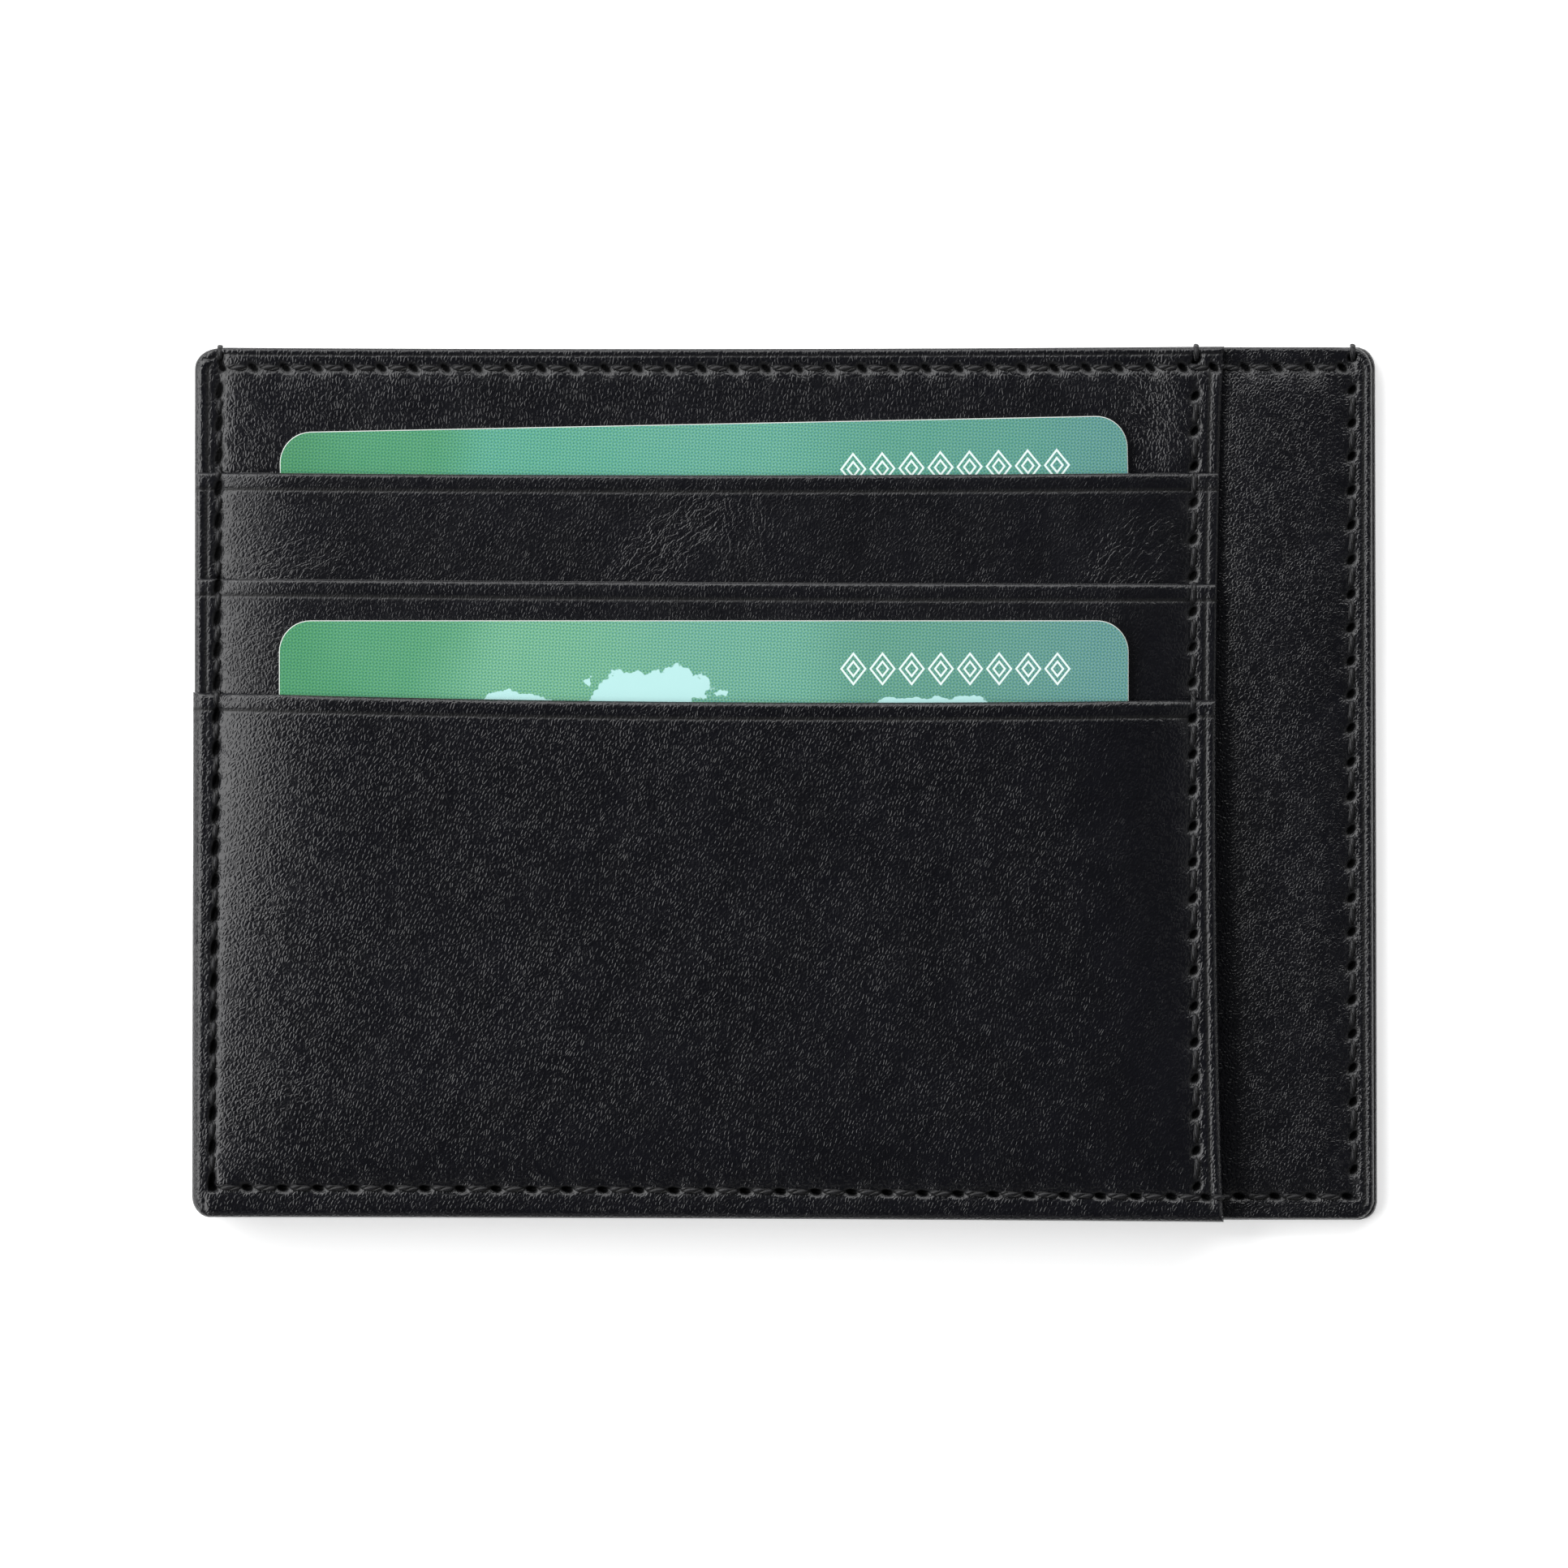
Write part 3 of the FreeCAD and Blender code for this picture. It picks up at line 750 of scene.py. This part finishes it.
# the allowances: three layers at each side and along the bottom, their edges not quite even
sides = {
    "left": (left + 0.08, leftSeam + 1.6, bottom + 0.1),
    "right": (blockSeam - 1.1, blockRight - 0.05, bottom + 0.1),
    "bottom": (leftSeam + 1.0, blockSeam - 0.6, bottom + 0.1),
}
layerEnds = (firstLow.y - 0.1, secondLow.y - 0.1, thirdMouth - 0.4)
for sideName, (low, high, floor) in sides.items():
    for layer in (1, 2, 3):
        inset = (0.16, 0.0, 0.1)[layer - 1]
        ceiling = bottomSeam + 0.4 if sideName == "bottom" else layerEnds[layer - 1]
        sheets[f"{sideName}Allowance{layer}"] = {
            "outline": (low + inset * (sideName == "left"), high - inset * (sideName == "right"),
                        floor + inset, ceiling),
            "radius": 2.0, "corners": ["bottomLeft"] if sideName == "left" else [],
            "roll": 0.3, "coarse": 1.6,
            "top": lambda x, y, layer=layer: allowanceTop(x, y, layer) - 0.02,
            "under": lambda x, y, layer=layer: allowanceTop(x, y, layer - 1) + 0.02,
        }
sheetFinish = {
    "backPanel": (backLeather, ["back_panel"]),
    "frontBase": (stripLeather, ["front_base_panel", "left_turned_edge", "right_turned_edge",
                                 "bottom_turned_edge"]),
    "upperPanel": (panelLeather, ["upper_panel"]),
    "firstPocket": (firstLeather, ["first_pocket_leather"]),
    "secondPocket": (secondLeather, ["second_pocket_leather"]),
    "frontPocket": (frontLeather, ["front_pocket_leather"]),
    **{f"{side}Allowance{layer}": (frontLeather, [f"{side}_seam_allowance"])
       for side in ("left", "right", "bottom") for layer in (1, 2, 3)},
}
for name, (finish, nodes) in sheetFinish.items():
    attach(leatherSheet(name, sheets[name], finish), "holder", "black_leather", *nodes)
print("leathers made")


# Linings, board and tapes.
# A thin flat sheet between two heights, cut from a box of the frame and eased at its edges.
def thinSheet(name, node, base, roof, material, slot, coarse=3.0):
    low, high = nodeBox(node)
    bm = flatSheet(cutLines(low.x, high.x, coarse, []), cutLines(low.y, high.y, coarse, []))
    upper = doubled(bm)
    for vert in bm.verts:
        x, y = vert.co.x, vert.co.y
        height = roof(x, y) if vert in upper else base(x, y)
        vert.co = Vector((*settle(x, y), height)) * mm
    rims = [edge for edge in bm.edges if edge.calc_face_angle(0) > 1]
    bmesh.ops.bevel(bm, geom=rims, offset=0.04 * mm, segments=2, profile=0.5, affect="EDGES", material=-1)
    piece = finishMesh(name, bm, material)
    attach(piece, "holder", slot, node)
    return piece


def level(height, waviness=0.02, seed=4.4):
    return lambda x, y: height + waviness * swell(x, y, 15, seed)


def below(surface, gap):
    return lambda x, y: surface(x, y) - gap


def clothSheet(name, node, base, roof, coarse=3.0):
    piece = thinSheet(name, node, base, roof, lining, "black_textile", coarse)


boardLow, boardHigh = nodeBox("back_board")
backLiningLow, backLiningHigh = nodeBox("back_lining")
frontLiningLow, frontLiningHigh = nodeBox("front_lining")
thinSheet("backBoard", "back_board", level(boardLow.z + 0.02), level(boardHigh.z), board, "stiffening_board")
clothSheet("backLining", "back_lining", level(backLiningLow.z + 0.01), level(backLiningHigh.z))
clothSheet("frontLining", "front_lining", level(frontLiningLow.z - 0.15), level(frontLiningHigh.z - 0.16))
pocketLinings = {"first": firstUnder, "second": secondUnder, "front": frontUnder}
for pocketName, under in pocketLinings.items():
    clothSheet(pocketName + "PocketLining", pocketName + "_pocket_lining",
               lambda x, y, under=under: max(under(x, y) - 0.13, form["panelTop"] + 0.05),
               lambda x, y, under=under: max(under(x, y) - 0.01, form["panelTop"] + 0.17),
               0.9)
    # the tape lies inside the turned mouth, between the leather's face and its hem
    crown = sheets[pocketName + "Pocket"]["top"]
    thinSheet(pocketName + "PocketTape", pocketName + "_pocket_mouth_tape",
              lambda x, y, under=under, crown=crown: min(under(x, y) + 0.2, crown(x, y) - 0.26),
              lambda x, y, under=under, crown=crown: min(under(x, y) + 0.32, crown(x, y) - 0.16),
              tape, "reinforcing_tape")
for slotName in ("first", "second"):
    low, high = nodeBox(slotName + "_slot_closing_tape")
    thinSheet(slotName + "SlotTape", slotName + "_slot_closing_tape", level(low.z), level(high.z), lining,
              "black_textile")
print("linings, board and tapes made")


# Threads.
# A twisted strand through the given places: a ring at the first, extruded from one to the next.
def strand(bm, places, startTurn):
    plyAround, plyTurn = bm.verts.layers.float["plyAround"], bm.verts.layers.float["plyTurn"]
    count = len(places)
    travelled = 0.0
    edges = []
    for number, place in enumerate(places):
        before, after = places[max(number - 1, 0)], places[min(number + 1, count - 1)]
        if number:
            travelled += (place - before).length
        heading = (after - before).normalized()
        side = heading.cross(Vector((0, 0, 1)))
        side = side.normalized() if side.length > 0.2 else Vector((heading.y, -heading.x, 0.001)).normalized()
        lift = side.cross(heading)
        twist = startTurn + travelled * stitch["turns"] * 2 * math.pi
        end = abs(2 * number / (count - 1) - 1)
        thick = 1 - 0.4 * end ** 5
        if not number:
            ring = bmesh.ops.create_circle(bm, cap_ends=False, radius=1, segments=stitch["sides"])["verts"]
            edges = list({edge for vert in ring for edge in vert.link_edges})
            unit = [math.atan2(vert.co.y, vert.co.x) for vert in ring]
            # the angle round the strand, measured from its top so that the jump lies underneath
            around = [(angle + math.pi / 2) % (2 * math.pi) - math.pi for angle in unit]
            first = ring
        else:
            grown = bmesh.ops.extrude_edge_only(bm, edges=edges)["geom"]
            edges = [item for item in grown if isinstance(item, bmesh.types.BMEdge)]
            new = {item for item in grown if isinstance(item, bmesh.types.BMVert)}
            edges = [edge for edge in edges if edge.verts[0] in new and edge.verts[1] in new]
            follow = {}
            for vert in new:
                for edge in vert.link_edges:
                    other = edge.other_vert(vert)
                    if other not in new:
                        follow[other] = vert
            ring = [follow[vert] for vert in ring]
        for vert, angle, fromTop in zip(ring, unit, around):
            vert[plyAround], vert[plyTurn] = fromTop, twist
            # two plies: the outline swells twice round the strand
            ply = 0.9 + 0.1 * math.cos(2 * (angle - twist))
            wide = stitch["threadWide"] * thick * ply
            high = stitch["threadHigh"] * thick * ply
            vert.co = place + side * math.cos(angle) * wide + lift * math.sin(angle) * high
    bmesh.ops.contextual_create(bm, geom=first)
    bmesh.ops.contextual_create(bm, geom=ring)


# The places of one stitch, from hole to hole, dipping into both.
def stitchPlaces(seam, number, height, sink):
    start = seam["phase"] + number * seam["pitch"]
    slantAway = 0.12
    places = []
    for step in range(stitch["rings"]):
        share = step / (stitch["rings"] - 1)
        along = start + seam["pitch"] * mix(*seam.get("cover", stitch["cover"]), share)
        across = seam["line"] + slantAway * (1 - 2 * share) * (1 if seam["along"] == "x" else -1)
        x, y = (across, along) if seam["along"] == "y" else (along, across)
        dip = abs(2 * share - 1) ** seam.get("dive", stitch["dive"])
        places.append(Vector((*settle(x, y), height(x, y) - sink * dip)))
    return places


def seamNumbers(seam, start, end):
    first = math.ceil((start - 0.6 - seam["phase"]) / seam["pitch"])
    last = math.floor((end + 0.6 - seam["phase"]) / seam["pitch"])
    return range(first, last)


def onTop(x, y):
    return visibleTop(x, y) - stitch["valley"] + 0.15


def onBack(x, y):
    return 0.03 + stitch["threadHigh"]


def hangOver(bm, x, height):
    # the last stitch, taken over the top edge to the back
    points = [(topSeam + 0.7, height - 0.3), (topSeam + 0.95, height), (top - 0.5, height + 0.02),
              (top - 0.1, height - 0.1), (top + 0.14, height - 0.6), (top + 0.16, 1.4), (top + 0.02, 0.7),
              (top - 0.3, 0.35)]
    strand(bm, [Vector((*settle(x, y), z)) for y, z in points], 0.4)


def sewn(name, node, rows, extra=None):
    bm = bmesh.new()
    bm.verts.layers.float.new("plyAround")
    bm.verts.layers.float.new("plyTurn")
    for seamName, start, end, height, sink in rows:
        seam = seams[seamName]
        for number in seamNumbers(seam, start, end):
            strand(bm, stitchPlaces(seam, number, height, sink), number * 0.7)
    if extra:
        extra(bm)
    bmesh.ops.scale(bm, vec=(mm, mm, mm), verts=bm.verts[:])
    attach(finishMesh(name, bm, thread), "holder", "black_thread", node)


def overTheTop(bm):
    for x in (leftSeam, rightSeam):
        hangOver(bm, x, visibleTop(x, top - 1) - 0.02)


def overTheBlock(bm):
    hangOver(bm, blockSeam, visibleTop(blockSeam, top - 1) - 0.02)


sewn("perimeterThread", "perimeter_thread", [
    ("left", bottomSeam, topSeam, onTop, 0.5), ("right", bottomSeam, topSeam, onTop, 0.5),
    ("bottom", leftSeam, rightSeam, onTop, 0.5),
    ("left", bottomSeam, topSeam, onBack, -0.4), ("right", bottomSeam, topSeam, onBack, -0.4),
    ("bottom", leftSeam, rightSeam, onBack, -0.4)], overTheTop)
sewn("blockThread", "pocket_block_thread", [("block", bottomSeam, topSeam, onTop, 0.5)], overTheBlock)
sewn("frontHemThread", "front_hem_thread", [("top", leftSeam, rightSeam, onTop, 0.5)])
sewn("backHemThread", "back_hem_thread", [("top", leftSeam, rightSeam, onBack, -0.4)])
for slotName in ("first", "second"):
    low, high = nodeBox(slotName + "_slot_floor_thread")
    seams[slotName + "Floor"] = seamAlong("x", (low.y + high.y) / 2, low.x, high.x, low.x, 3.25)
    sewn(slotName + "SlotThread", slotName + "_slot_floor_thread",
         [(slotName + "Floor", low.x, high.x, level(high.z - 0.1), 0.3)])
print("threads made")


# Cards.
cards = {
    "cornerRadius": 3.18, "cornerSteps": 10, "rim": 0.08, "rimDrop": 0.04,
    "row": {"from": 56.4, "to": 79.9, "middle": 49.1, "step": 2.9375, "wide": 1.38, "high": 1.75, "line": 0.11,
            "outlines": (0.88, 0.42)},
    "upper": {"node": "upper_card", "body": "upper_card_body", "tilt": 1.15, "shapes": [],
              "colours": [(0.0, (84, 149, 109)), (0.14, (92, 160, 122)), (0.28, (105, 174, 152)),
                          (0.55, (113, 175, 157)), (0.7, (105, 166, 149)), (1.0, (107, 157, 153))]},
    "lower": {"node": "lower_card", "body": "lower_card_body", "tilt": 0.0,
              "shapes": [((-13.5, 8.6), 6.0, 3.2), ((-27, 8.0), 4.0, 1.3), ((15, 7.8), 6.5, 1.0)],
              "colours": [(0.0, (86, 155, 113)), (0.12, (96, 163, 124)), (0.3, (126, 184, 153)),
                          (0.56, (123, 179, 160)), (0.68, (111, 165, 148)), (1.0, (112, 158, 156))]},
}
cardSize = lowerCardHigh - lowerCardLow


def fromScreen(colour):
    def channel(value):
        value /= 255
        return value / 12.92 if value <= 0.04045 else ((value + 0.055) / 1.055) ** 2.4
    return (*[channel(value) for value in colour], 1)


# The printed face: a soft run of greens, a fine dot screen, drifting pale shapes and an ornament row.
def cardPrint(name, card, corner):
    nodes = Nodes(name)
    vector = nodes.place(-card["tilt"], None, (corner.x, corner.y, 0))
    x, y, _ = nodes.add("ShaderNodeSeparateXYZ", {0: vector}).outputs
    share = nodes.math("DIVIDE", x, cardSize.x)
    wander = nodes.noise(vector, 0.05, 2.0).outputs["Fac"]
    share = nodes.math("ADD", share, nodes.math("MULTIPLY", nodes.math("SUBTRACT", wander, 0.5), 0.25))
    ramp = nodes.add("ShaderNodeValToRGB", {"Fac": share})
    ramp.color_ramp.interpolation = "EASE"
    stops = ramp.color_ramp.elements
    while len(stops) < len(card["colours"]):
        stops.new(0.5)
    for stop, (position, colour) in zip(stops, card["colours"]):
        stop.position = position
        stop.color = fromScreen(colour)
    colour = ramp.outputs[0]

    # two turned dot screens, one warm and one cool
    for turn, pitch, tint in ((15, 0.40, (0.50, 0.68, 0.36, 1)), (48, 0.47, (0.40, 0.62, 0.86, 1))):
        screen = nodes.add("ShaderNodeSeparateXYZ", {0: nodes.place(turn)}).outputs
        rate = 2 * math.pi / pitch
        dots = nodes.math("MULTIPLY", nodes.math("SINE", nodes.math("MULTIPLY", screen[0], rate)),
                          nodes.math("SINE", nodes.math("MULTIPLY", screen[1], rate)))
        dots = nodes.remap(dots, -0.3, 0.5)
        colour = nodes.mixColour(nodes.math("MULTIPLY", dots, 0.7), colour, tint, "MULTIPLY")

    # pale shapes with ragged edges
    ragged = nodes.noise(nodes.place(), 0.45, 3.0, 0.55).outputs["Fac"]
    ragged = nodes.math("MULTIPLY", nodes.math("SUBTRACT", ragged, 0.5), 1.7)
    for centre, wide, high in card["shapes"]:
        near = nodes.place(0, (1 / wide, 1 / high, 0), (*centre, 0))
        reach = nodes.length(near)
        shape = nodes.remap(nodes.math("ADD", reach, ragged), 1.03, 0.97)
        colour = nodes.mixColour(shape, colour, fromScreen((178, 222, 220)))

    # a row of lozenges, each drawn with a double line
    row = cards["row"]
    steps = nodes.math("DIVIDE", nodes.math("SUBTRACT", x, row["from"]), row["step"])
    cell = nodes.math("SUBTRACT", nodes.math("FRACT", steps), 0.5)
    across = nodes.math("ABSOLUTE", nodes.math("MULTIPLY", cell, row["step"]))
    tall = nodes.math("ABSOLUTE", nodes.math("SUBTRACT", y, row["middle"]))
    lozenge = nodes.math("ADD", nodes.math("DIVIDE", across, row["wide"]),
                         nodes.math("DIVIDE", tall, row["high"]))
    inRow = nodes.math("MULTIPLY", nodes.math("GREATER_THAN", x, row["from"]),
                       nodes.math("LESS_THAN", x, row["to"]))
    for size in row["outlines"]:
        outline = nodes.math("ABSOLUTE", nodes.math("SUBTRACT", lozenge, size))
        outline = nodes.remap(outline, row["line"], row["line"] * 0.6)
        colour = nodes.mixColour(nodes.math("MULTIPLY", outline, inRow), colour, fromScreen((225, 240, 236)))

    nodes.set(nodes.shader, "Base Color", colour)
    scuff = nodes.noise(vector, 0.6, 4.0, 0.65).outputs["Fac"]
    nodes.set(nodes.shader, "Roughness", nodes.remap(scuff, 0.3, 0.75, 0.4, 0.55))
    nodes.set(nodes.shader, "Normal", nodes.relief(0.3, 0.02, scuff))
    nodes.shader.inputs["Specular IOR Level"].default_value = 0.3
    return nodes.material


# The white core that shows round the rim, a little rough from the die.
def cardCore():
    nodes = Nodes("cardCore")
    grit = nodes.noise(nodes.place(), 3.0, 3.0).outputs["Fac"]
    nodes.set(nodes.shader, "Base Color", nodes.mixColour(grit, (0.42, 0.46, 0.43, 1), (0.6, 0.64, 0.61, 1)))
    nodes.set(nodes.shader, "Roughness", nodes.remap(grit, 0, 1, 0.5, 0.7))
    nodes.set(nodes.shader, "Normal", nodes.relief(0.4, 0.02, grit))
    return nodes.material


core = cardCore()


def makeCard(name, card):
    low, high = nodeBox(card["node"])
    tilt = math.radians(card["tilt"])
    # the turned card's own lower left corner: its box touches the corners' arcs, so work from the middle
    middle = (low + high) / 2
    turn = Matrix.Rotation(tilt, 3, "Z")
    corner = middle + turn @ Vector((-cardSize.x / 2, -cardSize.y / 2, 0))
    bm = bmesh.new()
    bmesh.ops.create_grid(bm, x_segments=1, y_segments=1, size=0.5)
    bmesh.ops.scale(bm, vec=(cardSize.x, cardSize.y, 1), verts=bm.verts[:])
    bmesh.ops.bevel(bm, geom=bm.verts[:], offset=cards["cornerRadius"], segments=cards["cornerSteps"],
                    profile=0.5, affect="VERTICES", material=-1)
    grown = bmesh.ops.extrude_face_region(bm, geom=bm.faces[:])["geom"]
    roof = next(item for item in grown if isinstance(item, bmesh.types.BMFace))
    bmesh.ops.translate(bm, vec=(0, 0, cardSize.z), verts=roof.verts[:])
    bmesh.ops.recalc_face_normals(bm, faces=bm.faces[:])
    for item in bm.faces:
        item.material_index = 1
    ends = [item for item in bm.faces if abs(item.normal.z) > 0.9]
    for item in ends:
        upward = item.normal.z > 0
        bmesh.ops.inset_region(bm, faces=[item], thickness=cards["rim"], depth=0)
        item.material_index = 0
        outer = [vert for vert in bm.verts
                 if (vert.co.z > cardSize.z / 2) == upward and vert not in item.verts]
        bmesh.ops.translate(bm, vec=(0, 0, -cards["rimDrop"] if upward else cards["rimDrop"]), verts=outer)
    bmesh.ops.rotate(bm, cent=(0, 0, 0), matrix=turn, verts=bm.verts[:])
    bmesh.ops.translate(bm, vec=(middle.x, middle.y, low.z), verts=bm.verts[:])
    bmesh.ops.scale(bm, vec=(mm, mm, mm), verts=bm.verts[:])
    piece = finishMesh(name, bm, [cardPrint(name + "Print", card, corner), core], smooth=False)
    attach(piece, card["body"], "printed_card", card["node"])


makeCard("upperCard", cards["upper"])
makeCard("lowerCard", cards["lower"])
print("cards made")


# Floor, light and camera.
studio = {
    "frameWidth": 158.4, "lens": 300, "floor": 3.0,
    "world": 0.07,
    "glow": 0.4,    # of the floor, a light table, so shadows stay faint
    "lights": [
        # name, place, size, brightness of the panel: all aim at the holder
        ("leftPanel", (-0.79, 0.18, 0.62), (1.5, 0.85), 4.4),
        ("topPanel", (0.05, 0.86, 0.50), (1.6, 0.75), 3.0),
        ("rightFill", (0.95, -0.1, 0.40), (1.2, 0.7), 0.35),
        ("lowFill", (0.0, -0.95, 0.40), (1.4, 0.7), 0.35),
    ],
}


def makeStudio():
    floorMesh = bpy.data.meshes.new("floor")
    bm = bmesh.new()
    bmesh.ops.create_grid(bm, x_segments=1, y_segments=1, size=studio["floor"])
    bm.to_mesh(floorMesh)
    bm.free()
    floor = bpy.data.objects.new("floor", floorMesh)
    bpy.context.scene.collection.objects.link(floor)
    paper = Nodes("palePaper")
    fibre = paper.noise(paper.place(), 0.02, 2.0).outputs["Fac"]
    tint = paper.mixColour(fibre, (0.92, 0.92, 0.92, 1), (0.94, 0.94, 0.94, 1))
    paper.set(paper.shader, "Base Color", tint)
    paper.shader.inputs["Roughness"].default_value = 0.9
    paper.shader.inputs["Specular IOR Level"].default_value = 0.1
    paper.shader.inputs["Emission Color"].default_value = (1, 1, 1, 1)
    paper.shader.inputs["Emission Strength"].default_value = studio["glow"]
    floorMesh.materials.append(paper.material)

    world = bpy.data.worlds.new("studio")
    world.use_nodes = True
    background = world.node_tree.nodes["Background"]
    background.inputs["Color"].default_value = (0.96, 0.98, 1.0, 1)
    background.inputs["Strength"].default_value = studio["world"]
    bpy.context.scene.world = world

    for name, place, size, brightness in studio["lights"]:
        lamp = bpy.data.lights.new(name, "AREA")
        lamp.shape = "RECTANGLE"
        lamp.size, lamp.size_y = size
        lamp.energy = brightness * math.pi * size[0] * size[1]
        item = bpy.data.objects.new(name, lamp)
        item.location = place
        item.rotation_euler = (-Vector(place)).to_track_quat("-Z", "Y").to_euler()
        bpy.context.scene.collection.objects.link(item)

    camera = bpy.data.cameras.new("camera")
    camera.lens = studio["lens"]
    camera.sensor_width = 36
    camera.clip_start, camera.clip_end = 0.01, 10
    eye = bpy.data.objects.new("camera", camera)
    distance = studio["frameWidth"] * mm * studio["lens"] / camera.sensor_width
    eye.location = (-0.0001, 0.0, distance + 2.5 * mm)
    bpy.context.scene.collection.objects.link(eye)
    bpy.context.scene.camera = eye
    bpy.context.scene.view_settings.view_transform = "Standard"


makeStudio()
print("studio made")
